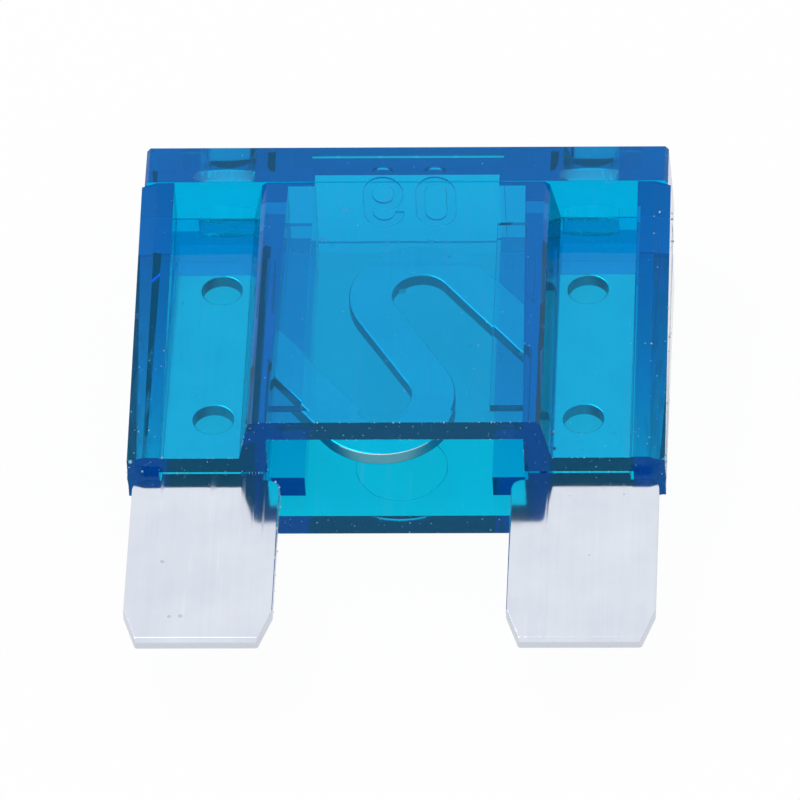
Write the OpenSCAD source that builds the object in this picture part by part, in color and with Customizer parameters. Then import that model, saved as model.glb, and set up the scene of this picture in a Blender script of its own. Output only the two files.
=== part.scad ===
// Automotive blade fuse, large format: a clear blue moulded housing, open at
// the blade end, with one stamped metal piece in it. The fuse lies on its back.
// X runs across both blades, +Y to the head, +Z through the thickness.
// The origin is under the middle of the whole fuse. Sizes are millimetres.

/* [Housing] */
// Width of the housing at its parting line
body_w = 29.2; // [27:0.1:34]
// Length of the housing, open end to head
body_l = 21.6; // [19.5:0.1:26]
// Thickness of the head and of the central box
body_t = 8.5; // [7.6:0.1:11]
// Length of the full-thickness head
head_l = 2.75; // [2.5:0.05:5]
// Radius of the head's two outer corners
head_r = 0.4; // [0.1:0.05:1]
// How much each side draws in from the parting line to the faces
side_draft = 0.2; // [0.05:0.05:0.5]
// How far the front face of the box lies below the front face of the head
face_step = 0.06; // [0.02:0.02:0.2]
// Thickness of the side panels
panel_t = 3; // [2.4:0.1:4.5]
// Width of the rail along the outer edge of each panel
rail_w = 1.85; // [1.4:0.05:2.2]
// Height of a rail above its panel at the open end
rail_start = 0.05; // [0.02:0.01:0.5]
// How far the side of a rail lies inside the parting line
rail_inset = 0.04; // [0.02:0.01:0.08]
// Height of the eased outer edge of a panel
panel_ease = 0.3; // [0.1:0.05:0.6]
// Width of the eased outer edge of a panel
panel_ease_w = 0.9; // [0.3:0.1:1.2]
// Width of the central box at its front and back faces
box_w = 15.7; // [15:0.1:17]
// How far each sloped side of the box spreads at the panel
box_spread = 0.6; // [0.1:0.05:1.2]
// Small flat along the edges of the box and head
edge_ease = 0.2; // [0.05:0.05:0.4]

/* [Cavity] */
// Width of the cavity at the open end
cavity_w = 13.9; // [12:0.1:14.4]
// How much each side of the cavity draws in towards the head
cavity_draft = 0.4; // [0:0.05:0.8]
// Thickness of the front and back walls
wall = 1.5; // [1.1:0.05:2]
// How much thinner those walls are at the open end
mouth_flare = 0.15; // [0.05:0.05:0.5]
// Length over which they thin
mouth_flare_l = 1.7; // [0.5:0.1:3]
// Solid length left between the cavity and the head's end face
end_wall = 2.25; // [2:0.05:2.4]
// Width of the deeper middle of the cavity
pocket_w = 10.2; // [9.6:0.1:12]
// How much deeper the middle of the cavity is
pocket_l = 0.85; // [0.3:0.05:1.2]
// How much shallower the pocket is at its back
pocket_slant = 0.5; // [0.1:0.05:0.8]
// Distance between the ribs on each side of the cavity
rib_gap = 10.2; // [9:0.1:12]
// Height of the ribs on the front wall
front_rib_h = 0.4; // [0.2:0.05:0.8]
// Height of the ribs on the back wall at the open end
back_rib_h = 1.35; // [0.4:0.05:1.6]
// Height that those ribs gain on the way to the head
back_rib_rise = 0.7; // [0.1:0.05:0.8]
// Distance from the open end to the front ribs
front_rib_setback = 2.1; // [1.8:0.1:4]
// Distance from the open end to the back ribs
back_rib_setback = 1.45; // [1:0.05:3]
// Length of the ribs on the front wall
front_rib_l = 14.3; // [8:0.1:16]
// Length of the ribs on the back wall
back_rib_l = 17.2; // [8:0.1:17.4]

/* [Head] */
// Width of the two test probe holes
probe_w = 3.1; // [2:0.1:3.6]
// Height of the test probe holes
probe_h = 2.2; // [1.6:0.1:3]
// Radius of the curved front and back of the probe holes
probe_r = 3.8; // [2:0.1:6]
// How far a probe hole runs past the end of its slot
probe_overrun = 0.15; // [0.05:0.05:0.25]
// Width of the shallow recess in the end face
recess_w = 10.6; // [9.5:0.1:13]
// Height of that recess
recess_h = 5.9; // [5:0.1:7]
// Depth of that recess
recess_d = 0.15; // [0.1:0.05:0.6]
// Height of the numerals in the recess
digit_h = 3.6; // [2.6:0.1:4.5]
// Width of one numeral
digit_w = 2.2; // [1.4:0.1:2.2]
// Width of the numerals' stroke
digit_stroke = 0.5; // [0.3:0.05:0.7]
// Height of the six's bowl
bowl_h = 2.35; // [2.25:0.05:2.5]
// Space between the numerals
digit_space = 0.7; // [0.3:0.05:1.5]
// How far the numerals stand up
digit_relief = 0.12; // [0.06:0.02:0.5]
// Diameter of the round ejector mark on the back
mark_d = 5; // [2:0.5:6]
// Depth of the ejector mark
mark_depth = 0.08; // [0.04:0.02:0.2]
// Distance from the open end to the middle of the ejector mark
mark_setback = 4.4; // [3.2:0.1:8]

/* [Metal] */
// Thickness of the stamped metal
metal_t = 0.8; // [0.5:0.05:1]
// Width of each blade
blade_w = 8; // [7:0.1:9]
// Length of blade beyond the housing
blade_l = 12.7; // [10:0.1:16]
// Distance between the centres of the blades
blade_pitch = 20.5; // [19.5:0.1:22]
// Sideways run of the chamfers at a blade's tip
tip_chamfer_w = 0.75; // [0.3:0.05:1.5]
// Lengthways run of those chamfers
tip_chamfer_l = 2.3; // [1:0.1:4]
// Height of the coined bevel on the tip
tip_bevel = 0.2; // [0.05:0.05:0.3]
// Width of the terminal inside the housing
terminal_w = 5.6; // [5:0.1:5.8]
// How far a terminal sits inboard of the middle of its blade
terminal_shift = 0.35; // [0.25:0.05:0.5]
// Length of the terminal inside the housing
terminal_l = 15; // [12:0.1:17]
// Distance from the open end to the blade's shoulders
shoulder_gap = 0.5; // [0.2:0.05:1]
// Radius of the shoulders' corners
shoulder_r = 0.7; // [0.2:0.05:0.9]
// Diameter of the holes in the terminals
hole_d = 2.15; // [1:0.05:3]
// Distance from the open end to the first hole
hole_y = 3.65; // [3:0.05:5]
// Distance between the two holes of a terminal
hole_pitch = 10.1; // [4:0.1:11]
// How far the terminal and probe holes sit inboard of the middle of a blade
hole_shift = 0.2; // [0:0.05:0.5]

/* [Fuse link] */
// Width of the link's strip
link_w = 2.4; // [1:0.1:2.8]
// Radius of the link's bends at the middle of the strip
link_r = 2.75; // [2:0.05:3.2]
// Distance across the housing between the bends' centres
link_dx = 1.8; // [0.5:0.1:2.5]
// Distance along the housing between the bends' centres
link_dy = 7.8; // [6.6:0.1:9]
// Distance from the open end to the middle of the link
link_y = 9.25; // [8.6:0.05:10]
// Slant of the link's arms from the length of the fuse
arm_slant = 38; // [30:1:45]

/* [Clearances] */
// Gap between the metal and the slot, front and back
slot_gap = 0.2; // [0.05:0.05:0.3]
// Gap between the terminal's outer edge and the slot
slot_side_gap = 0.15; // [0.05:0.05:0.3]

/* [Hidden] */
$fn = 48;
fine = 96;
past = 1;
y_head = (body_l + blade_l) / 2;
y_mouth = y_head - body_l;
y_tip = y_mouth - blade_l;
y_step = y_head - head_l;
y_end_wall = y_head - end_wall;
z_mid = body_t / 2;
slot_t = metal_t + 2 * slot_gap;
blade_x = blade_pitch / 2;
terminal_x = blade_x - terminal_shift;
hole_x = blade_x - hole_shift;
terminal_in = terminal_x - terminal_w / 2;
terminal_out = terminal_x + terminal_w / 2;
slot_out = terminal_out + slot_side_gap;
half_w = body_w / 2;
cavity_end = cavity_w / 2 - cavity_draft;
mark_y = y_mouth + mark_setback;
panel_top = z_mid + panel_t / 2;
rail_in = half_w - rail_w;
rail_rise = body_t - face_step - panel_top;
rail_depth = (panel_t + rail_rise) / 2;

// Straight run between the two bends of the link, and its slant from +Y
bend_dist = norm([link_dx, link_dy]);
link_slant = asin(2 * link_r / bend_dist) - atan(link_dx / link_dy);
link_run = sqrt(bend_dist * bend_dist - 4 * link_r * link_r);

// Flat outline in X and Y raised between two heights
module slab(z0, z1) {
    translate([0, 0, z0]) linear_extrude(z1 - z0) children();
}

// Section in X and Z drawn out along Y
module along_y(y0, y1) {
    translate([0, y1, 0]) rotate([90, 0, 0]) linear_extrude(y1 - y0) children();
}

// Section in Y and Z drawn out along X, to both sides of the middle
module along_x(w) {
    translate([-w / 2, 0, 0]) rotate([90, 0, 90]) linear_extrude(w) children();
}

// The same thing on both sides of the middle
module both_sides() {
    children();
    mirror([1, 0, 0]) children();
}

// The left and right halves of an outline from its right-hand points
function closed(right) = concat(right, [for (i = [len(right) - 1:-1:0]) [-right[i][0], right[i][1]]]);

// Section of the head: full thickness, widest at the parting line
function head_section() = closed([
    [half_w - side_draft - edge_ease, 0],
    [half_w - side_draft, edge_ease],
    [half_w, z_mid],
    [half_w - side_draft, body_t - edge_ease],
    [half_w - side_draft - edge_ease, body_t]
]);

// Front half of the section below the head: panel, sloped side and box face
function front_half(box_top) = [
    [half_w, z_mid],
    [half_w - side_draft / 2, panel_top - panel_ease],
    [half_w - panel_ease_w, panel_top],
    [box_w / 2 + box_spread, panel_top],
    [box_w / 2 + edge_ease / 3, box_top - edge_ease],
    [box_w / 2 - edge_ease, box_top]
];
function back_half() = let (half = front_half(body_t)) [for (i = [len(half) - 1:-1:1])
    [half[i][0], body_t - half[i][1]]];
function body_section() = closed(concat(back_half(), front_half(body_t - face_step)));

// Right-hand rail on the front: a wedge that rises from the panel's end to the head
module rail() {
    side = half_w - rail_inset;
    run = y_step - y_mouth;
    intersection() {
        translate([0, y_mouth, panel_top + rail_start])
            rotate([atan((rail_rise - rail_start) / run), 0, 0])
                along_y(-past, run + past) polygon([
                    [rail_in, -rail_depth], [side, -rail_depth], [side, -panel_ease],
                    [half_w - panel_ease_w, 0], [rail_in, 0]
                ]);
        translate([0, y_mouth, 0]) cube([body_w, run, body_t]);
    }
}

// Plan of the housing, with the head's rounded corners
module housing_plan() {
    translate([-half_w, y_mouth]) square([body_w, body_l - head_r]);
    translate([-half_w + head_r, y_mouth]) square([body_w - 2 * head_r, body_l]);
    for (s = [-1, 1]) translate([s * (half_w - head_r), y_head - head_r]) circle(head_r);
}

// Outside of the housing with nothing cut from it
module housing_block() {
    intersection() {
        union() {
            along_y(y_step, y_head) polygon(head_section());
            along_y(y_mouth, y_step + head_r) polygon(body_section());
            both_sides() {
                rail();
                translate([0, 0, body_t]) mirror([0, 0, 1]) rail();
            }
        }
        slab(-past, body_t + past) housing_plan();
    }
}

// Plan of the cavity, which draws in towards the head
module cavity_plan() {
    polygon([
        [-cavity_w / 2, y_mouth - past], [cavity_w / 2, y_mouth - past],
        [cavity_w / 2, y_mouth], [cavity_end, y_end_wall],
        [-cavity_end, y_end_wall], [-cavity_w / 2, y_mouth]
    ]);
}

// Height of the cavity, with walls that thin towards the open end
module cavity_section() {
    y_flare = y_mouth + mouth_flare_l;
    y_deep = y_end_wall + past;
    thin = wall - mouth_flare;
    polygon([
        [y_mouth - past, thin], [y_mouth, thin], [y_flare, wall], [y_deep, wall],
        [y_deep, body_t - wall], [y_flare, body_t - wall],
        [y_mouth, body_t - thin], [y_mouth - past, body_t - thin]
    ]);
}

// Deeper middle of the cavity, with a slanted end
module pocket() {
    y_front = y_end_wall + pocket_l;
    along_x(pocket_w) polygon([
        [y_end_wall - past, wall], [y_front - pocket_slant, wall],
        [y_front, body_t - wall], [y_end_wall - past, body_t - wall]
    ]);
}

// Low ribs that run along both sides of the cavity, on the front and back walls
module ribs() {
    y_back = y_mouth + back_rib_setback;
    back_top = wall + back_rib_h;
    rib_w = cavity_w / 2 - rib_gap / 2 + past;
    both_sides() {
        translate([rib_gap / 2 + rib_w / 2, 0, 0]) along_x(rib_w) polygon([
            [y_back, wall - past], [y_back + back_rib_l, wall - past],
            [y_back + back_rib_l, back_top + back_rib_rise], [y_back, back_top]
        ]);
        translate([rib_gap / 2, y_mouth + front_rib_setback, body_t - wall - front_rib_h])
            cube([rib_w, front_rib_l, front_rib_h + past]);
    }
}

module cavity() {
    difference() {
        union() {
            intersection() {
                slab(0, body_t) cavity_plan();
                along_x(cavity_w + past) cavity_section();
            }
            pocket();
        }
        ribs();
    }
}

// Flat slot for the terminals, across the housing from one side to the other
module terminal_slot() {
    translate([-slot_out, y_mouth - past, z_mid - slot_t / 2])
        cube([2 * slot_out, body_l - end_wall + past, slot_t]);
}

// Test probe holes: flat sides, with a shallow curve at the front and the back
module probe_holes() {
    l = end_wall + probe_overrun + past;
    both_sides() translate([hole_x, y_end_wall - probe_overrun, z_mid]) intersection() {
        translate([-probe_w / 2, 0, -probe_h / 2]) cube([probe_w, l, probe_h]);
        translate([0, 0, probe_h / 2 - probe_r]) rotate([-90, 0, 0])
            cylinder(r = probe_r, h = l, $fn = fine);
        translate([0, 0, probe_r - probe_h / 2]) rotate([-90, 0, 0])
            cylinder(r = probe_r, h = l, $fn = fine);
    }
}

// Upright loop with round ends, a plain nought
module loop(w, h) {
    difference() {
        pill(w, h);
        pill(w - 2 * digit_stroke, h - 2 * digit_stroke);
    }
}

module pill(w, h) {
    for (s = [-1, 1]) translate([0, s * (h - w) / 2]) circle(d = w);
    square([w, h - w], center = true);
}

// A six: a low loop, and a stem that bends over it
module six() {
    translate([0, (bowl_h - digit_h) / 2]) loop(digit_w, bowl_h);
    intersection() {
        loop(digit_w, digit_h);
        union() {
            translate([-digit_w, -digit_h / 2 + bowl_h / 2]) square([digit_w, digit_h]);
            translate([-digit_w, digit_h / 2 - digit_w / 2]) square([2 * digit_w, digit_w]);
        }
    }
}

// Raised rating numerals on the floor of the recess, read with the back side up
module numerals() {
    step = (digit_w + digit_space) / 2;
    translate([0, y_head - recess_d - past, z_mid]) rotate([-90, 0, 0])
        linear_extrude(digit_relief + past) {
            translate([-step, 0]) six();
            translate([step, 0]) loop(digit_w, digit_h);
        }
}

module housing() {
    color("deepskyblue", 0.55) union() {
        difference() {
            housing_block();
            cavity();
            terminal_slot();
            probe_holes();
            translate([-recess_w / 2, y_head - recess_d, z_mid - recess_h / 2])
                cube([recess_w, recess_d + past, recess_h]);
            translate([0, mark_y, -past])
                cylinder(d = mark_d, h = past + mark_depth, $fn = fine);
        }
        intersection() {
            numerals();
            translate([-recess_w / 2, y_head - 2 * recess_d, 0])
                cube([recess_w, end_wall, body_t]);
        }
    }
}

// Plan of one blade with its tapered tip and rounded shoulders
module blade_plan() {
    y_shoulder = y_mouth - shoulder_gap;
    half = blade_w / 2;
    translate([blade_x, 0]) {
        polygon([
            [-half + tip_chamfer_w, y_tip], [half - tip_chamfer_w, y_tip],
            [half, y_tip + tip_chamfer_l], [half, y_shoulder - shoulder_r],
            [-half, y_shoulder - shoulder_r], [-half, y_tip + tip_chamfer_l]
        ]);
        translate([-half + shoulder_r, y_shoulder - 2 * shoulder_r])
            square([blade_w - 2 * shoulder_r, 2 * shoulder_r]);
        for (s = [-1, 1]) translate([s * (half - shoulder_r), y_shoulder - shoulder_r])
            circle(shoulder_r);
    }
}

// Side view of the metal with the coined bevel at the tip
module metal_section() {
    z0 = z_mid - metal_t / 2;
    z1 = z_mid + metal_t / 2;
    polygon([
        [y_tip, z0 + tip_bevel], [y_tip + tip_bevel, z0], [y_head, z0],
        [y_head, z1], [y_tip + tip_bevel, z1], [y_tip, z1 - tip_bevel]
    ]);
}

module terminal_plan() {
    translate([terminal_in, y_mouth - shoulder_gap - shoulder_r])
        square([terminal_w, terminal_l + shoulder_gap + shoulder_r]);
}

// Straight strip that runs back from a point of a bend, at a slant
module strip(slant, run) {
    rotate(slant) translate([link_r - link_w / 2, -run]) square([link_w, run]);
}

// Part of a bend's circle where there is no strip, between the arm and the middle
module bend_gap() {
    far = 3 * link_r;
    for (turn = [0, arm_slant]) rotate(turn) translate([0, -far]) square(far);
    rotate(link_slant) translate([-far, -far]) square(far);
}

// One bend and one arm of the link, and half of its slanted middle
module half_link() {
    translate([link_dx / 2, link_dy / 2]) {
        difference() {
            circle(link_r + link_w / 2, $fn = fine);
            circle(link_r - link_w / 2, $fn = fine);
            bend_gap();
        }
        // The arm leaves the bend and ends inside the terminal
        intersection() {
            strip(arm_slant, 4 * link_r);
            translate([0, -link_dy]) square([terminal_in - link_dx / 2 + terminal_w / 4, 2 * link_dy]);
        }
    }
    rotate(link_slant) translate([-link_w / 2, 0]) square([link_w, link_run / 2]);
}

module link_plan() {
    translate([0, y_mouth + link_y]) {
        half_link();
        rotate(180) half_link();
    }
}

module fuse_element() {
    color("gainsboro") difference() {
        intersection() {
            slab(z_mid - metal_t, z_mid + metal_t) {
                for (side = [0, 1]) mirror([side, 0]) {
                    blade_plan();
                    terminal_plan();
                }
                link_plan();
            }
            along_x(body_w) metal_section();
        }
        both_sides() for (i = [0, 1])
            translate([hole_x, y_mouth + hole_y + i * hole_pitch, z_mid - metal_t])
                cylinder(d = hole_d, h = 2 * metal_t, $fn = fine);
    }
}

housing();
fuse_element();
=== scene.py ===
"""Looks of the blade fuse: clear blue housing and stamped metal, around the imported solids.

Everything is in metres in the part's own frame: X across both blades, +Y to the head,
+Z up through the thickness. The fuse lies on its back on a white table.
"""

import logging
import math
from dataclasses import dataclass
from enum import Enum

import bmesh
import bpy
from mathutils import Matrix, Vector


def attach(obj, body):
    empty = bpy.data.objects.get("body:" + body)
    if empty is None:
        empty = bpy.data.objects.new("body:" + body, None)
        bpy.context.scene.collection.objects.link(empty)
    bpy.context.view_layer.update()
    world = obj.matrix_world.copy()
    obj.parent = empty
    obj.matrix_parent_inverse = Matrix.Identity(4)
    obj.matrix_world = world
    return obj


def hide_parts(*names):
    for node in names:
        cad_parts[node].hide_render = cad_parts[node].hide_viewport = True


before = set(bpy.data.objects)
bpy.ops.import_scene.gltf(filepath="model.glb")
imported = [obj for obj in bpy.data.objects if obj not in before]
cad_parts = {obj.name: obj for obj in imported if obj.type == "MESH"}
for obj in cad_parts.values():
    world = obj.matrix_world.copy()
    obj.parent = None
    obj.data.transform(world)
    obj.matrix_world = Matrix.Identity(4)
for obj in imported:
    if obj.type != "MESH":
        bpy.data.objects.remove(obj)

log = logging.getLogger("blade_fuse")
Colour = tuple[float, float, float]
Place = tuple[float, float, float]
Socket = bpy.types.NodeSocket
MM = 0.001
WHITE: Colour = (1.0, 1.0, 1.0)
# The colour sockets of a Mix node.
MIX_FIRST, MIX_SECOND, MIX_RESULT = 6, 7, 2
# The sockets of a Random Value node for each kind of value.
RANDOM_FLOAT_LOW, RANDOM_FLOAT_HIGH = 2, 3
RANDOM_VECTOR_OUT, RANDOM_FLOAT_OUT, RANDOM_CHOICE_OUT = 0, 1, 3
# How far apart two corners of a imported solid's loose triangles may lie and still be one.
MERGE_REACH = 0.0005 * MM
# How far from a cut a corner may lie and still be on it.
CUT_REACH = 0.0001 * MM
CUT_SIDE = 0.001 * MM
# Faces that turn less than this are one flat face; edges that turn more than this are rounded.
FLAT_TURN = math.radians(0.5)
EDGE_TURN = math.radians(28.0)


class Slot(Enum):
    """The record's material slots."""

    PLASTIC = "clear_blue_plastic"
    METAL = "stamped_zinc"


class Graph:
    """A node tree under construction, with short calls for nodes and links."""

    def __init__(self, tree: bpy.types.NodeTree) -> None:
        """Takes the tree to build in."""
        self.tree = tree

    def add(self, kind: str, **settings) -> bpy.types.Node:
        """Adds one node.

        Args:
            kind: The node's type name.
            settings: Properties to set on the node.

        Returns:
            The new node.
        """
        made = self.tree.nodes.new(kind)
        for key, value in settings.items():
            setattr(made, key, value)
        return made

    def put(self, target: Socket, value: object) -> None:
        """Links a socket or sets a plain value on the target socket."""
        if isinstance(value, Socket):
            self.tree.links.new(value, target)
        else:
            target.default_value = value

    def maths(self, operation: str, *values: object, clamp: bool = False) -> Socket:
        """Adds a Math node.

        Args:
            operation: The operation's name.
            values: Sockets or numbers, one for each input.
            clamp: Whether the result is kept between 0 and 1.

        Returns:
            The node's output socket.
        """
        made = self.add("ShaderNodeMath", operation=operation, use_clamp=clamp)
        for socket, value in zip(made.inputs, values):
            self.put(socket, value)
        return made.outputs[0]

    def ramp(
        self, value: object, low: float, high: float, out: tuple[float, float] = (0.0, 1.0)
    ) -> Socket:
        """Adds a smooth Map Range node.

        Args:
            value: The socket to read.
            low: Value that gives the first output.
            high: Value that gives the second output.
            out: The two outputs.

        Returns:
            The mapped value's socket.
        """
        made = self.add("ShaderNodeMapRange", interpolation_type="SMOOTHSTEP")
        self.put(made.inputs["Value"], value)
        made.inputs["From Min"].default_value = low
        made.inputs["From Max"].default_value = high
        made.inputs["To Min"].default_value, made.inputs["To Max"].default_value = out
        return made.outputs[0]

    def stretched(self, vector: object, scale: Place, turn: Place = (0.0, 0.0, 0.0)) -> Socket:
        """Adds a Mapping node that turns and scales a vector."""
        made = self.add("ShaderNodeMapping")
        self.put(made.inputs["Vector"], vector)
        made.inputs["Rotation"].default_value = turn
        made.inputs["Scale"].default_value = scale
        return made.outputs[0]

    def noise(
        self, vector: object, scale: float, detail: float = 2.0, roughness: float = 0.5
    ) -> Socket:
        """Adds a Noise Texture node and returns its grey value."""
        made = self.add("ShaderNodeTexNoise")
        self.put(made.inputs["Vector"], vector)
        made.inputs["Scale"].default_value = scale
        made.inputs["Detail"].default_value = detail
        made.inputs["Roughness"].default_value = roughness
        return made.outputs["Fac"]

    def mix(self, factor: object, first: object, second: object) -> Socket:
        """Adds a colour Mix node and returns its result."""
        made = self.add("ShaderNodeMix", data_type="RGBA")
        self.put(made.inputs["Factor"], factor)
        self.put(made.inputs[MIX_FIRST], first)
        self.put(made.inputs[MIX_SECOND], second)
        return made.outputs[MIX_RESULT]


def rgba(colour: Colour) -> tuple[float, float, float, float]:
    """Adds full opacity to a colour."""
    return (*colour, 1.0)


class SurfaceMarks:
    """Shader node groups for marks that both finishes share, built once."""

    def __init__(self) -> None:
        """Builds both groups."""
        self.scratches = self._scratches()
        self.specks = self._specks()

    @staticmethod
    def _group(name: str, inputs: dict[str, float]) -> tuple[Graph, bpy.types.Node, bpy.types.Node]:
        """Starts a group with a vector input, number inputs and one Mask output.

        Args:
            name: The group's name.
            inputs: Name and default of each number input.

        Returns:
            The graph, its input node and its output node.
        """
        tree = bpy.data.node_groups.new(name, "ShaderNodeTree")
        tree.interface.new_socket("Vector", in_out="INPUT", socket_type="NodeSocketVector")
        for key, value in inputs.items():
            made = tree.interface.new_socket(key, in_out="INPUT", socket_type="NodeSocketFloat")
            made.default_value = value
        tree.interface.new_socket("Mask", in_out="OUTPUT", socket_type="NodeSocketFloat")
        graph = Graph(tree)
        return graph, graph.add("NodeGroupInput"), graph.add("NodeGroupOutput")

    def _scratches(self) -> bpy.types.NodeTree:
        """Hairline scratches in two directions, broken up into short lengths."""
        inputs = {"Fineness": 900.0, "Amount": 0.5}
        graph, source, result = self._group("hairline_scratches", inputs)
        total = None
        patch = graph.ramp(graph.noise(source.outputs["Vector"], 240.0, 1.0), 0.4, 0.6)
        for index, angle in enumerate((14.0, -52.0)):
            along = graph.stretched(
                source.outputs["Vector"], (1.0, 0.03, 1.0), (0.0, 0.0, math.radians(angle))
            )
            fine = graph.add("ShaderNodeVectorMath", operation="SCALE")
            graph.put(fine.inputs["Vector"], along)
            graph.put(fine.inputs["Scale"], source.outputs["Fineness"])
            line = graph.ramp(graph.noise(fine.outputs[0], 1.0, 0.0), 0.68, 0.76)
            share = patch if index else graph.maths("SUBTRACT", 1.0, patch)
            part = graph.maths("MULTIPLY", line, share)
            total = part if total is None else graph.maths("MAXIMUM", total, part)
        mask = graph.maths("MULTIPLY", total, source.outputs["Amount"], clamp=True)
        graph.put(result.inputs["Mask"], mask)
        return graph.tree

    def _specks(self) -> bpy.types.NodeTree:
        """Small round specks of different sizes, far apart."""
        inputs = {"Scale": 700.0, "Size": 0.2, "Share": 0.2}
        graph, source, result = self._group("fine_specks", inputs)
        cells = graph.add("ShaderNodeTexVoronoi")
        graph.put(cells.inputs["Vector"], source.outputs["Vector"])
        graph.put(cells.inputs["Scale"], source.outputs["Scale"])
        pick = graph.add("ShaderNodeSeparateColor")
        graph.put(pick.inputs[0], cells.outputs["Color"])
        reach = graph.maths("MULTIPLY", source.outputs["Size"], pick.outputs[1])
        near = graph.maths("LESS_THAN", cells.outputs["Distance"], reach)
        chosen = graph.maths("LESS_THAN", pick.outputs[0], source.outputs["Share"])
        graph.put(result.inputs["Mask"], graph.maths("MULTIPLY", near, chosen))
        return graph.tree


def marks_node(graph: Graph, group: bpy.types.NodeTree, vector: object, **values: float) -> Socket:
    """Places a shared group in a material.

    Args:
        graph: The material's graph.
        group: The shared group.
        vector: The coordinates it reads.
        values: Its named inputs.

    Returns:
        The group's mask.
    """
    made = graph.add("ShaderNodeGroup", node_tree=group)
    graph.put(made.inputs["Vector"], vector)
    for key, value in values.items():
        made.inputs[key].default_value = value
    return made.outputs["Mask"]


def fresh_material(name: str) -> tuple[bpy.types.Material, Graph, bpy.types.Node, bpy.types.Node]:
    """Starts a material with one Principled BSDF.

    Args:
        name: The material's name.

    Returns:
        The material, its graph, the shader node and the output node.
    """
    made = bpy.data.materials.new(name)
    made.use_nodes = True
    made.node_tree.nodes.clear()
    graph = Graph(made.node_tree)
    shader = graph.add("ShaderNodeBsdfPrincipled")
    result = graph.add("ShaderNodeOutputMaterial")
    graph.put(result.inputs["Surface"], shader.outputs[0])
    return made, graph, shader, result


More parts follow.
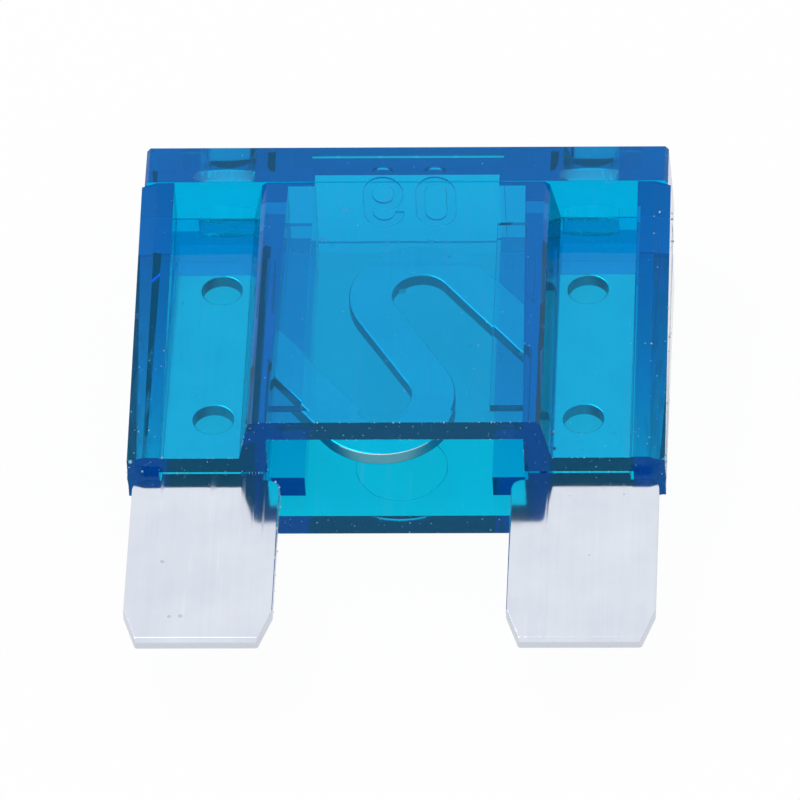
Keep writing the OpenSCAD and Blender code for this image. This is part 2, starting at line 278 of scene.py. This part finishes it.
@dataclass(frozen=True)
class ClearPlastic:
    """Clear blue plastic that gets deeper with every millimetre, worn at its sides' blade end, with
    a painted glow inside, painted shade on its recess's upper wall and a painted highlight at its
    probe holes' ends.
    """

    marks: SurfaceMarks
    ior: float = 1.5
    body: Colour = (0.05, 0.95, 1.0)
    marks_and_painted_highlight: Colour = (0.6, 0.88, 0.97)
    absorbed: Colour = (0.0, 0.825, 0.943)
    density: float = 1400.0
    clear: float = 0.975
    sheen_tint: Colour = (0.0, 0.5, 0.85)
    # Paler colour for specks and hairlines, and a painted highlight at the probe holes' ends.
    worn_side: float = 13.2 * MM
    worn_end: float = 4.4 * MM
    # Painted glow: the inside of the plastic emits this light, though it is no lamp.
    painted_glow_colour: Colour = (0.0, 0.7, 1.0)
    painted_glow_strength: float = 10.0
    probe_x: float = 10.05 * MM
    probe_half: float = 1.56 * MM
    probe_end: float = 14.9 * MM
    recess_top: float = 7.2 * MM
    recess_floor: float = 16.97 * MM
    recess_half: float = 5.35 * MM
    # Painted shade: darker blue for the recess's upper wall.
    painted_rim_shade: Colour = (0.01, 0.3, 0.5)
    ripple_strength: float = 0.25
    ripple_depth: float = 0.02 * MM

    def material(self) -> bpy.types.Material:
        """Builds the material.

        Returns:
            The clear plastic with scratches, specks, ripple, worn sides, a painted glow inside,
            painted shade on the recess's wall and a painted highlight at the probe holes' ends.
        """
        made, graph, shader, result = fresh_material("clear_blue_plastic")
        place = graph.add("ShaderNodeTexCoord").outputs["Object"]
        axes = graph.add("ShaderNodeSeparateXYZ")
        graph.put(axes.inputs[0], place)
        outward = graph.maths("ABSOLUTE", axes.outputs[0])
        side = graph.ramp(outward, self.worn_side, self.worn_side + 0.4 * MM)
        coarse = graph.noise(place, 520.0, 0.0)
        ragged = graph.maths("MULTIPLY_ADD", coarse, -3.0 * MM, axes.outputs[1])
        lower = graph.ramp(ragged, self.worn_end - 1.2 * MM, self.worn_end - 2.2 * MM)
        streak = graph.noise(graph.stretched(place, (1.0, 0.03, 1.0)), 4200.0, 0.0)
        worn = graph.maths("MULTIPLY", side, lower)
        worn = graph.maths("MULTIPLY", worn, graph.ramp(streak, 0.42, 0.62))
        hairline = marks_node(graph, self.marks.scratches, place, Fineness=2200.0, Amount=0.6)
        speck = marks_node(graph, self.marks.specks, place, Scale=900.0, Size=0.2, Share=0.1)
        frosted = self._frosted_painted_highlight(graph, axes, coarse, streak)
        rough = graph.maths("MULTIPLY_ADD", worn, 0.22, 0.01)
        rough = graph.maths("MULTIPLY_ADD", frosted, 0.45, rough)
        rough = graph.maths("MULTIPLY_ADD", hairline, 0.12, rough)
        rough = graph.maths("MULTIPLY_ADD", speck, 0.3, rough, clamp=True)
        graph.put(shader.inputs["Roughness"], rough)
        # The paler colour marks specks and hairlines, and paints a highlight at the probe holes'
        # ends.
        pale = graph.maths("MAXIMUM", speck, graph.maths("MULTIPLY", hairline, 0.5))
        pale = graph.maths("MAXIMUM", pale, frosted)
        # Painted shade: the recess's upper wall gets a darker blue base colour.
        tone = graph.mix(self._painted_recess_shade(graph, axes), rgba(self.body), rgba(self.painted_rim_shade))
        graph.put(shader.inputs["Base Color"], graph.mix(pale, tone, rgba(self.marks_and_painted_highlight)))
        shader.inputs["IOR"].default_value = self.ior
        shader.inputs["Transmission Weight"].default_value = self.clear
        shader.inputs["Specular Tint"].default_value = rgba(self.sheen_tint)
        bump = graph.add("ShaderNodeBump")
        bump.inputs["Strength"].default_value = self.ripple_strength
        bump.inputs["Distance"].default_value = self.ripple_depth
        graph.put(bump.inputs["Height"], coarse)
        graph.put(shader.inputs["Normal"], bump.outputs[0])
        graph.put(result.inputs["Volume"], self._depth(graph))
        return made

    def _depth(self, graph: Graph) -> Socket:
        """Makes the inside of the plastic: what it absorbs and a painted glow.

        The painted glow is emitted light that stands in for light that the moulding carries between
        its faces.

        Args:
            graph: The material's graph.

        Returns:
            The volume shader's socket.
        """
        soak = graph.add("ShaderNodeVolumeAbsorption")
        soak.inputs["Color"].default_value = rgba(self.absorbed)
        soak.inputs["Density"].default_value = self.density
        # Painted glow, emitted from inside the plastic.
        glow = graph.add("ShaderNodeEmission")
        glow.inputs["Color"].default_value = rgba(self.painted_glow_colour)
        glow.inputs["Strength"].default_value = self.painted_glow_strength
        both = graph.add("ShaderNodeAddShader")
        graph.put(both.inputs[0], soak.outputs[0])
        graph.put(both.inputs[1], glow.outputs[0])
        return both.outputs[0]

    def _painted_recess_shade(self, graph: Graph, axes: bpy.types.Node) -> Socket:
        """Finds the narrow upper wall of the recess in the head's end face, where shade is painted
        into the base colour.

        Args:
            graph: The material's graph.
            axes: The node that gives the place's coordinates.

        Returns:
            A mask that is 1 on the wall, where the painted shade goes.
        """
        height = graph.maths("ABSOLUTE", graph.maths("SUBTRACT", axes.outputs[2], self.recess_top))
        near = graph.ramp(height, 0.12 * MM, 0.04 * MM)
        beyond = graph.ramp(axes.outputs[1], self.recess_floor - 0.05 * MM, self.recess_floor)
        outward = graph.maths("ABSOLUTE", axes.outputs[0])
        inside = graph.ramp(outward, self.recess_half + 0.1 * MM, self.recess_half)
        return graph.maths("MULTIPLY", graph.maths("MULTIPLY", near, beyond), inside)

    def _frosted_painted_highlight(
        self, graph: Graph, axes: bpy.types.Node, cloud: object, grain: object
    ) -> Socket:
        """Finds a rough patch at the blind ends of the test probe holes; its paler base colour is a
        painted highlight.

        Args:
            graph: The material's graph.
            axes: The node that gives the place's coordinates.
            cloud: Slow noise that breaks the patch up.
            grain: Fine noise that breaks the patch up.

        Returns:
            A mask that is 1 on the rough patch, where the painted highlight goes.
        """
        outward = graph.maths("ABSOLUTE", axes.outputs[0])
        beside = graph.maths("ABSOLUTE", graph.maths("SUBTRACT", outward, self.probe_x))
        across = graph.ramp(beside, self.probe_half + 0.1 * MM, self.probe_half)
        along = graph.maths("ABSOLUTE", graph.maths("SUBTRACT", axes.outputs[1], self.probe_end))
        depth = graph.ramp(along, 0.5 * MM, 0.2 * MM)
        torn = graph.ramp(graph.maths("ADD", cloud, grain), 0.7, 1.0)
        return graph.maths("MULTIPLY", graph.maths("MULTIPLY", across, depth), torn)


@dataclass(frozen=True)
class ChippedPlastic:
    """Broken, frosted surface of chips and specks of the blue plastic."""

    pale: Colour = (0.62, 0.84, 0.95)
    deep: Colour = (0.2, 0.55, 0.8)
    ior: float = 1.5
    clear: float = 0.35

    def material(self) -> bpy.types.Material:
        """Builds the material.

        Returns:
            Pale, rough plastic with an uneven tone and grain.
        """
        made, graph, shader, _ = fresh_material("chipped_blue_plastic")
        place = graph.add("ShaderNodeTexCoord").outputs["Object"]
        grain = graph.noise(place, 9000.0, 1.0)
        tone = graph.mix(graph.ramp(grain, 0.3, 0.7), rgba(self.deep), rgba(self.pale))
        graph.put(shader.inputs["Base Color"], tone)
        graph.put(shader.inputs["Roughness"], graph.maths("MULTIPLY_ADD", grain, 0.3, 0.3))
        shader.inputs["IOR"].default_value = self.ior
        shader.inputs["Transmission Weight"].default_value = self.clear
        return made


@dataclass(frozen=True)
class StampedZinc:
    """Bright stamped zinc strip, nearly a mirror, with rolling lines, handling marks and painted
    shade on its sheared faces inside the housing.
    """

    marks: SurfaceMarks
    bright: Colour = (0.74, 0.78, 0.86)
    dull: Colour = (0.66, 0.7, 0.79)
    sheared: Colour = (0.6, 0.63, 0.7)
    # Painted shade: dark teal for sheared faces inside the housing.
    sheared_inside_painted_shade: Colour = (0.1, 0.33, 0.42)
    pitted: Colour = (0.36, 0.4, 0.48)
    mouth: float = -4.45 * MM
    dent_strength: float = 0.35
    dent_depth: float = 0.02 * MM

    def material(self) -> bpy.types.Material:
        """Builds the material.

        Returns:
            The bright metal with rolling lines, hairlines, pits, soft dents and painted shade on
            the sheared faces inside the housing.
        """
        made, graph, shader, _ = fresh_material("stamped_zinc")
        place = graph.add("ShaderNodeTexCoord").outputs["Object"]
        rolled = graph.noise(graph.stretched(place, (1.0, 0.02, 1.0)), 4200.0, 3.0, 0.6)
        cloud = graph.noise(place, 260.0, 3.0, 0.6)
        hairline = marks_node(graph, self.marks.scratches, place, Fineness=3400.0, Amount=0.8)
        pit = marks_node(graph, self.marks.specks, place, Scale=1700.0, Size=0.22, Share=0.07)
        tone = graph.maths("MULTIPLY", rolled, 0.25)
        tone = graph.maths("MULTIPLY_ADD", cloud, 0.7, tone, clamp=True)
        base = graph.mix(graph.ramp(tone, 0.25, 0.75), rgba(self.bright), rgba(self.dull))
        base = graph.mix(graph.maths("MULTIPLY", pit, 0.5), base, rgba(self.pitted))
        facing = graph.add("ShaderNodeSeparateXYZ")
        graph.put(facing.inputs[0], graph.add("ShaderNodeNewGeometry").outputs["True Normal"])
        cut = graph.ramp(graph.maths("ABSOLUTE", facing.outputs[2]), 0.6, 0.3)
        along = graph.add("ShaderNodeSeparateXYZ")
        graph.put(along.inputs[0], place)
        # Painted shade: sheared faces inside the housing's mouth get a dark teal colour.
        inside = graph.ramp(along.outputs[1], self.mouth - 0.1 * MM, self.mouth + 0.2 * MM)
        sheared = graph.mix(inside, rgba(self.sheared), rgba(self.sheared_inside_painted_shade))
        base = graph.mix(cut, base, sheared)
        graph.put(shader.inputs["Base Color"], base)
        shader.inputs["Metallic"].default_value = 1.0
        rough = graph.maths("MULTIPLY_ADD", graph.ramp(cloud, 0.3, 0.75), 0.05, 0.08)
        rough = graph.maths("MULTIPLY_ADD", cut, 0.25, rough)
        rough = graph.maths("MULTIPLY_ADD", hairline, 0.15, rough, clamp=True)
        graph.put(shader.inputs["Roughness"], rough)
        height = graph.maths("MULTIPLY_ADD", hairline, -0.25, graph.maths("MULTIPLY", rolled, 0.12))
        height = graph.maths("MULTIPLY_ADD", graph.noise(place, 420.0, 1.0), 0.8, height)
        bump = graph.add("ShaderNodeBump")
        bump.inputs["Strength"].default_value = self.dent_strength
        bump.inputs["Distance"].default_value = self.dent_depth
        graph.put(bump.inputs["Height"], height)
        graph.put(shader.inputs["Normal"], bump.outputs[0])
        return made


def edged_copy(
    node: str, name: str, edge: float, steps: int, cuts: tuple[float, ...] = ()
) -> bpy.types.Object:
    """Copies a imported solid's mesh, merges its loose triangles and rounds its edges a little.

    Args:
        node: The solid's name.
        name: The new piece's name.
        edge: Width of the rounding, in metres.
        steps: Segments of the rounding.
        cuts: Places across the piece where its flat faces are cut, so that no face has a hole
            in it. With cuts, short edges do not limit the rounding.

    Returns:
        The new piece, linked to the scene.
    """
    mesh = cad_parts[node].data.copy()
    mesh.name = name
    form = bmesh.new()
    form.from_mesh(mesh)
    bmesh.ops.remove_doubles(form, verts=form.verts, dist=MERGE_REACH)
    for cut in cuts:
        whole = [*form.verts, *form.edges, *form.faces]
        bmesh.ops.bisect_plane(
            form, geom=whole, dist=CUT_REACH, plane_co=(cut, 0.0, 0.0), plane_no=(1.0, 0.0, 0.0)
        )
    kept = {
        edge
        for edge in form.edges
        for cut in cuts
        if all(abs(vert.co.x - cut) < CUT_SIDE for vert in edge.verts)
    }
    loose = [edge for edge in form.edges if edge not in kept]
    bmesh.ops.dissolve_limit(
        form, angle_limit=FLAT_TURN, verts=form.verts, edges=loose, delimit=set()
    )
    form.to_mesh(mesh)
    form.free()
    for attribute in [a.name for a in mesh.attributes if a.name.startswith("custom")]:
        mesh.attributes.remove(mesh.attributes[attribute])
    mesh.materials.clear()
    piece = bpy.data.objects.new(name, mesh)
    bpy.context.scene.collection.objects.link(piece)
    rounding = piece.modifiers.new("edge", "BEVEL")
    rounding.width = edge
    rounding.segments = steps
    rounding.limit_method = "ANGLE"
    rounding.angle_limit = EDGE_TURN
    rounding.harden_normals = True
    rounding.use_clamp_overlap = not cuts
    rounding.miter_outer = "MITER_SHARP"
    return piece


@dataclass
class Housing:
    """The clear blue moulding with its head, panels, box and cavity."""

    finish: ClearPlastic
    edge: float = 0.05 * MM
    edge_steps: int = 2
    middle: float = 4.25 * MM
    slot_half: float = 0.6 * MM
    slot_closer: float = 0.14 * MM

    def build(self) -> bpy.types.Object:
        """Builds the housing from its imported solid.

        Returns:
            The dressed housing.
        """
        piece = edged_copy("housing", "clear_housing", self.edge, self.edge_steps)
        self._close_slot(piece.data)
        piece.data.materials.append(self.finish.material())
        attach(piece, "root")
        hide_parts("housing")
        return piece

    def _close_slot(self, mesh: bpy.types.Mesh) -> None:
        """Brings the slot's two faces nearer to the metal that they hold.

        Args:
            mesh: The housing's mesh.
        """
        for vertex in mesh.vertices:
            height = vertex.co.z - self.middle
            if abs(abs(height) - self.slot_half) < 0.004 * MM:
                vertex.co.z -= math.copysign(self.slot_closer, height)


@dataclass
class FuseElement:
    """The stamped metal piece: two blades, two terminals and the link between them."""

    finish: StampedZinc
    edge: float = 0.1 * MM
    hole_x: float = 10.05 * MM
    edge_steps: int = 3

    def build(self) -> bpy.types.Object:
        """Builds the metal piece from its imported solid.

        Returns:
            The dressed metal piece.
        """
        cuts = (-self.hole_x, 0.0, self.hole_x)
        piece = edged_copy("fuse_element", "stamped_element", self.edge, self.edge_steps, cuts)
        piece.data.materials.append(self.finish.material())
        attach(piece, "root")
        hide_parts("fuse_element")
        return piece


class Spread(Enum):
    """How crumbs are laid out on their host."""

    FACES = "faces"
    EDGES = "edges"


@dataclass(frozen=True)
class Zone:
    """A box in the part's frame, with the way its surface must face."""

    low: Place
    high: Place
    facing: Place = (0.0, 0.0, 0.0)

    def holds(self, point: Vector) -> bool:
        """Tells whether a point lies in the box."""
        return all(a * MM <= p <= b * MM for a, p, b in zip(self.low, point, self.high))

    def faces(self, normal: Vector) -> bool:
        """Tells whether a normal points the zone's way; any does where the zone names none."""
        way = Vector(self.facing)
        return way.length == 0 or normal.dot(way) > 0.9


class CrumbTree:
    """Geometry node tree that scatters irregular crumbs over faces or along edges."""

    def __init__(self, spread: Spread) -> None:
        """Builds the tree for one way of spreading."""
        self.spread = spread
        self.tree = bpy.data.node_groups.new(f"crumbs_on_{spread.value}", "GeometryNodeTree")
        face = self.tree.interface
        face.new_socket("Geometry", in_out="INPUT", socket_type="NodeSocketGeometry")
        for name, kind in (
            ("Density", "NodeSocketFloat"), ("Spacing", "NodeSocketFloat"),
            ("Share", "NodeSocketFloat"), ("Smallest", "NodeSocketFloat"),
            ("Largest", "NodeSocketFloat"), ("Upper End", "NodeSocketFloat"),
            ("Seed", "NodeSocketInt"), ("Material", "NodeSocketMaterial"),
        ):
            face.new_socket(name, in_out="INPUT", socket_type=kind)
        face.new_socket("Geometry", in_out="OUTPUT", socket_type="NodeSocketGeometry")
        self._wire(Graph(self.tree))

    def _wire(self, graph: Graph) -> None:
        """Adds and links the tree's nodes.

        Args:
            graph: The empty tree.
        """
        source, result = graph.add("NodeGroupInput"), graph.add("NodeGroupOutput")
        given = source.outputs
        place = graph.add("ShaderNodeSeparateXYZ")
        graph.put(place.inputs[0], graph.add("GeometryNodeInputPosition").outputs[0])
        below = graph.add("FunctionNodeCompare", data_type="FLOAT", operation="LESS_THAN")
        graph.put(below.inputs[0], place.outputs[1])
        graph.put(below.inputs[1], given["Upper End"])
        if self.spread is Spread.FACES:
            points = graph.add("GeometryNodeDistributePointsOnFaces", distribute_method="RANDOM")
            graph.put(points.inputs["Mesh"], given["Geometry"])
            graph.put(points.inputs["Density"], given["Density"])
            graph.put(points.inputs["Seed"], given["Seed"])
        else:
            curve = graph.add("GeometryNodeMeshToCurve")
            graph.put(curve.inputs[0], given["Geometry"])
            points = graph.add("GeometryNodeCurveToPoints", mode="LENGTH")
            graph.put(points.inputs["Curve"], curve.outputs[0])
            graph.put(points.inputs["Length"], given["Spacing"])
        kept = self._chance(graph, given["Seed"], given["Share"])
        both = graph.add("FunctionNodeBooleanMath", operation="AND")
        graph.put(both.inputs[0], below.outputs[0])
        graph.put(both.inputs[1], kept)
        crumb = graph.add("GeometryNodeMeshIcoSphere")
        crumb.inputs["Radius"].default_value = 1.0
        crumb.inputs["Subdivisions"].default_value = 2
        rough = graph.add("GeometryNodeSetPosition")
        graph.put(rough.inputs["Geometry"], crumb.outputs[0])
        graph.put(rough.inputs["Offset"], self._vector(graph, given["Seed"], -0.3, 0.3, 5))
        size = self._sizes(graph, given)
        copies = graph.add("GeometryNodeInstanceOnPoints")
        graph.put(copies.inputs["Points"], points.outputs["Points"])
        graph.put(copies.inputs["Selection"], both.outputs[0])
        graph.put(copies.inputs["Instance"], rough.outputs[0])
        graph.put(copies.inputs["Rotation"], self._vector(graph, given["Seed"], 0.0, math.tau, 7))
        graph.put(copies.inputs["Scale"], size)
        plain = graph.add("GeometryNodeRealizeInstances")
        graph.put(plain.inputs[0], copies.outputs[0])
        dressed = graph.add("GeometryNodeSetMaterial")
        graph.put(dressed.inputs["Geometry"], plain.outputs[0])
        graph.put(dressed.inputs["Material"], given["Material"])
        graph.put(result.inputs[0], dressed.outputs[0])

    @staticmethod
    def _seeded(graph: Graph, seed: object, shift: int) -> Socket:
        """Gives each random value a seed of its own from the tree's one seed."""
        return graph.maths("ADD", seed, float(shift))

    def _chance(self, graph: Graph, seed: object, share: object) -> Socket:
        """Picks the given share of the points at random."""
        made = graph.add("FunctionNodeRandomValue", data_type="BOOLEAN")
        graph.put(made.inputs["Probability"], share)
        graph.put(made.inputs["Seed"], self._seeded(graph, seed, 3))
        return made.outputs[RANDOM_CHOICE_OUT]

    def _vector(
        self, graph: Graph, seed: object, low: float, high: float, shift: int
    ) -> Socket:
        """Adds a random vector between two values on each axis."""
        made = graph.add("FunctionNodeRandomValue", data_type="FLOAT_VECTOR")
        made.inputs[0].default_value = (low, low, low)
        made.inputs[1].default_value = (high, high, high)
        graph.put(made.inputs["Seed"], self._seeded(graph, seed, shift))
        return made.outputs[RANDOM_VECTOR_OUT]

    def _sizes(self, graph: Graph, given: object) -> Socket:
        """Gives each crumb a size, with many small ones and few large ones."""
        made = graph.add("FunctionNodeRandomValue", data_type="FLOAT")
        made.inputs[RANDOM_FLOAT_LOW].default_value = 0.0
        made.inputs[RANDOM_FLOAT_HIGH].default_value = 1.0
        graph.put(made.inputs["Seed"], self._seeded(graph, given["Seed"], 9))
        rare = graph.maths("POWER", made.outputs[RANDOM_FLOAT_OUT], 3.0)
        span = graph.maths("SUBTRACT", given["Largest"], given["Smallest"])
        return graph.maths("MULTIPLY_ADD", rare, span, given["Smallest"])


@dataclass
class CrumbField:
    """One field of chips, specks or burrs on a finished piece."""

    name: str
    host: bpy.types.Object
    zones: tuple[Zone, ...]
    tree: CrumbTree
    finish: bpy.types.Material
    slot: Slot
    smallest: float
    largest: float
    seed: int
    density: float = 0.0
    spacing: float = 1.0 * MM
    share: float = 1.0
    upper_end: float = 1.0

    def _host_mesh(self) -> bpy.types.Mesh:
        """Cuts the wanted faces or edges out of a copy of the host's mesh.

        Returns:
            A mesh with only the faces, or only the edges, that lie in one of the zones.
        """
        form = bmesh.new()
        form.from_mesh(self.host.data)
        if self.tree.spread is Spread.FACES:
            unwanted = [
                face for face in form.faces
                if not any(
                    z.holds(face.calc_center_median()) and z.faces(face.normal) for z in self.zones
                )
            ]
            bmesh.ops.delete(form, geom=unwanted, context="FACES")
        else:
            unwanted = [
                edge for edge in form.edges
                if not any(all(z.holds(v.co) for v in edge.verts) for z in self.zones)
            ]
            bmesh.ops.delete(form, geom=list(form.faces), context="FACES_ONLY")
            bmesh.ops.delete(form, geom=unwanted, context="EDGES")
        mesh = bpy.data.meshes.new(f"{self.name}_host")
        form.to_mesh(mesh)
        form.free()
        return mesh

    def build(self) -> bpy.types.Object:
        """Scatters the crumbs and turns them into one plain mesh.

        Returns:
            The finished piece.
        """
        base = bpy.data.objects.new(f"{self.name}_host", self._host_mesh())
        bpy.context.scene.collection.objects.link(base)
        scatter = base.modifiers.new("crumbs", "NODES")
        scatter.node_group = self.tree.tree
        values = {
            "Density": self.density, "Spacing": self.spacing, "Share": self.share,
            "Smallest": self.smallest, "Largest": self.largest, "Upper End": self.upper_end,
            "Seed": self.seed, "Material": self.finish,
        }
        for socket in self.tree.tree.interface.items_tree:
            if socket.in_out == "INPUT" and socket.name in values:
                scatter[socket.identifier] = values[socket.name]
        finished = base.evaluated_get(bpy.context.evaluated_depsgraph_get())
        mesh = bpy.data.meshes.new_from_object(finished)
        mesh.name = self.name
        base.modifiers.remove(scatter)
        bpy.data.objects.remove(base)
        piece = bpy.data.objects.new(self.name, mesh)
        bpy.context.scene.collection.objects.link(piece)
        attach(piece, "root")
        return piece


@dataclass
class PickedMarks(CrumbField):
    """Single chips at chosen places, such as the bubble at the foot of the box."""

    places: tuple[Place, ...] = ()

    def _host_mesh(self) -> bpy.types.Mesh:
        """Makes one very short edge at each chosen place.

        Returns:
            A mesh of loose edges.
        """
        form = bmesh.new()
        for place in self.places:
            start = Vector(place) * MM
            near = start + Vector((0.001 * MM, 0.0, 0.0))
            form.edges.new([form.verts.new(start), form.verts.new(near)])
        mesh = bpy.data.meshes.new(f"{self.name}_host")
        form.to_mesh(mesh)
        form.free()
        return mesh


@dataclass
class HandlingWear:
    """Everything that handling and moulding left on both pieces: specks, nicks, chips and burrs."""

    housing: bpy.types.Object
    element: bpy.types.Object
    chipped: bpy.types.Material
    metal: bpy.types.Material
    half_width: float = 14.7
    mouth: float = -4.45

    def build(self) -> list[bpy.types.Object]:
        """Scatters each kind of mark.

        Returns:
            The finished pieces.
        """
        faces, edges = CrumbTree(Spread.FACES), CrumbTree(Spread.EDGES)
        side, low, high = self.half_width, self.mouth - 0.05, self.mouth + 0.05
        plastic = {"host": self.housing, "finish": self.chipped, "slot": Slot.PLASTIC}
        fields = [
            CrumbField(
                "end_face_specks",
                zones=(Zone((-side, low, 0.0), (side, high, 8.6), (0.0, -1.0, 0.0)),),
                tree=faces, smallest=0.009 * MM, largest=0.04 * MM, seed=11, density=3.0e6,
                **plastic,
            ),
            CrumbField(
                "rail_specks",
                zones=(
                    Zone((-side, low, 5.0), (-12.6, 15.0, 8.6), (0.0, 0.0, 1.0)),
                    Zone((12.6, low, 5.0), (side, 15.0, 8.6), (0.0, 0.0, 1.0)),
                ),
                tree=faces, smallest=0.01 * MM, largest=0.045 * MM, seed=23, density=1.6e6,
                upper_end=3.6 * MM, **plastic,
            ),
            CrumbField(
                "front_specks",
                zones=(Zone((-side, low, 5.0), (side, 18.0, 8.6), (0.0, 0.0, 1.0)),),
                tree=faces, smallest=0.008 * MM, largest=0.03 * MM, seed=5, density=0.25e6,
                **plastic,
            ),
            CrumbField(
                "mouth_nicks", zones=(Zone((-side, low, 4.6), (side, high, 8.6)),),
                tree=edges, smallest=0.008 * MM, largest=0.045 * MM, seed=31,
                spacing=0.17 * MM, share=0.4, **plastic,
            ),
            CrumbField(
                "side_nicks", zones=(Zone((13.6, low, 2.0), (side, 15.0, 8.6)),),
                tree=edges, smallest=0.01 * MM, largest=0.06 * MM, seed=37,
                spacing=0.4 * MM, share=0.15, **plastic,
            ),
            PickedMarks(
                "picked_chips", zones=(), tree=edges, smallest=0.06 * MM, largest=0.14 * MM, seed=3,
                places=(
                    (8.5, -2.5, 5.74), (-12.62, -4.38, 5.76), (-14.35, -4.42, 5.5),
                    (-13.75, -4.44, 4.8), (14.0, 12.2, 8.2),
                ),
                **plastic,
            ),
            CrumbField(
                "blade_burrs", host=self.element, finish=self.metal, slot=Slot.METAL,
                zones=(Zone((-6.6, -17.3, 3.7), (-6.0, -4.0, 4.8)),), tree=edges,
                smallest=0.012 * MM, largest=0.06 * MM, seed=41, spacing=0.2 * MM, share=0.4,
            ),
        ]
        return [field.build() for field in fields]


@dataclass
class Studio:
    """White table, white surroundings, soft lamps and the camera."""

    camera_at: Place = (35.2809 * MM, -461.6015 * MM, 457.435 * MM)
    camera_forward: Place = (-0.0544, 0.71371, -0.69832)
    camera_up: Place = (0.00312, 0.69948, 0.71465)
    lens: float = 536.536
    table_size: float = 2.4
    shadow_share: float = 0.04
    through_share: float = 0.68
    sky: float = 0.8
    table_pale: Colour = (0.82, 0.84, 0.86)
    table_deep: Colour = (0.78, 0.8, 0.82)
    lamp_at: Place = (-0.35, 0.25, 0.8)
    lamp_size: tuple[float, float] = (0.6, 0.4)
    lamp_power: float = 2.0

    def build(self) -> None:
        """Makes the table, the world, the lamps and the camera."""
        self._table()
        self._world()
        self._lamps()
        self._camera()

    def _seen(self, graph: Graph, through: float = 1.0) -> Socket:
        """Gives the share of plain white that a ray sees of the background.

        Args:
            graph: The material's or world's graph.
            through: The share for rays that come through the clear plastic.

        Returns:
            1 for camera and mirrored rays, the given share for rays through the plastic, else 0.
        """
        rays = graph.add("ShaderNodeLightPath")
        inside = rays.outputs["Is Transmission Ray"]
        mirrored = graph.maths(
            "MULTIPLY", rays.outputs["Is Glossy Ray"], graph.maths("SUBTRACT", 1.0, inside)
        )
        seen = graph.maths("MAXIMUM", rays.outputs["Is Camera Ray"], mirrored)
        return graph.maths("MAXIMUM", seen, graph.maths("MULTIPLY", inside, through))

    def _table(self) -> None:
        """Makes the white table with a faint grain, which keeps a soft shadow."""
        form = bmesh.new()
        bmesh.ops.create_grid(form, x_segments=8, y_segments=8, size=self.table_size / 2)
        mesh = bpy.data.meshes.new("table")
        form.to_mesh(mesh)
        form.free()
        table = bpy.data.objects.new("table", mesh)
        table.location.z = -0.02 * MM
        bpy.context.scene.collection.objects.link(table)
        made, graph, shader, result = fresh_material("white_table")
        place = graph.add("ShaderNodeTexCoord").outputs["Object"]
        grain = graph.ramp(graph.noise(place, 900.0, 3.0), 0.2, 0.8, (0.97, 1.0))
        tint = graph.mix(grain, rgba(self.table_deep), rgba(self.table_pale))
        graph.put(shader.inputs["Base Color"], tint)
        shader.inputs["Roughness"].default_value = 0.9
        shader.inputs["Specular IOR Level"].default_value = 0.0
        glow = graph.add("ShaderNodeEmission")
        glow.inputs["Strength"].default_value = 1.0
        blend = graph.add("ShaderNodeMixShader")
        seen = self._seen(graph, self.through_share)
        graph.put(blend.inputs[0], graph.maths("MULTIPLY", seen, 1.0 - self.shadow_share))
        graph.put(blend.inputs[1], shader.outputs[0])
        graph.put(blend.inputs[2], glow.outputs[0])
        graph.put(result.inputs["Surface"], blend.outputs[0])
        mesh.materials.append(made)

    def _world(self) -> None:
        """Makes the white surroundings: white where they are seen, softer as light."""
        world = bpy.data.worlds.new("studio")
        bpy.context.scene.world = world
        world.use_nodes = True
        world.node_tree.nodes.clear()
        graph = Graph(world.node_tree)
        light = graph.add("ShaderNodeBackground")
        light.inputs["Color"].default_value = rgba(WHITE)
        strength = graph.maths("MULTIPLY_ADD", self._seen(graph), 1.0 - self.sky, self.sky)
        graph.put(light.inputs["Strength"], strength)
        result = graph.add("ShaderNodeOutputWorld")
        graph.put(result.inputs["Surface"], light.outputs[0])

    def _lamps(self) -> None:
        """Makes one large soft lamp over the table, to the left and behind."""
        lamp = bpy.data.lights.new("soft_lamp", "AREA")
        lamp.shape = "RECTANGLE"
        lamp.size, lamp.size_y = self.lamp_size
        lamp.energy = self.lamp_power
        made = bpy.data.objects.new("soft_lamp", lamp)
        made.location = self.lamp_at
        made.rotation_mode = "QUATERNION"
        made.rotation_quaternion = (-made.location).to_track_quat("-Z", "Y")
        bpy.context.scene.collection.objects.link(made)

    def _camera(self) -> None:
        """Makes the camera at the photograph's place."""
        lens = bpy.data.cameras.new("camera")
        lens.lens = self.lens
        lens.sensor_width = 36.0
        lens.clip_start, lens.clip_end = 0.05, 20.0
        made = bpy.data.objects.new("camera", lens)
        forward = Vector(self.camera_forward).normalized()
        right = forward.cross(Vector(self.camera_up)).normalized()
        up = right.cross(forward)
        turn = Matrix((right, up, -forward)).transposed().to_4x4()
        made.matrix_world = Matrix.Translation(self.camera_at) @ turn
        bpy.context.scene.collection.objects.link(made)
        bpy.context.scene.camera = made


def main() -> None:
    """Builds every piece in order, then the studio."""
    logging.basicConfig(level=logging.INFO, format="%(name)s: %(message)s")
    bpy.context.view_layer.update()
    bpy.context.scene.view_settings.view_transform = "Standard"
    marks = SurfaceMarks()
    housing = Housing(ClearPlastic(marks)).build()
    element = FuseElement(StampedZinc(marks)).build()
    wear = HandlingWear(housing, element, ChippedPlastic().material(), element.data.materials[0])
    pieces = [housing, element, *wear.build()]
    for piece in pieces:
        log.info("%s: %d faces", piece.name, len(piece.data.polygons))
    Studio().build()


if __name__ == "__main__":
    main()
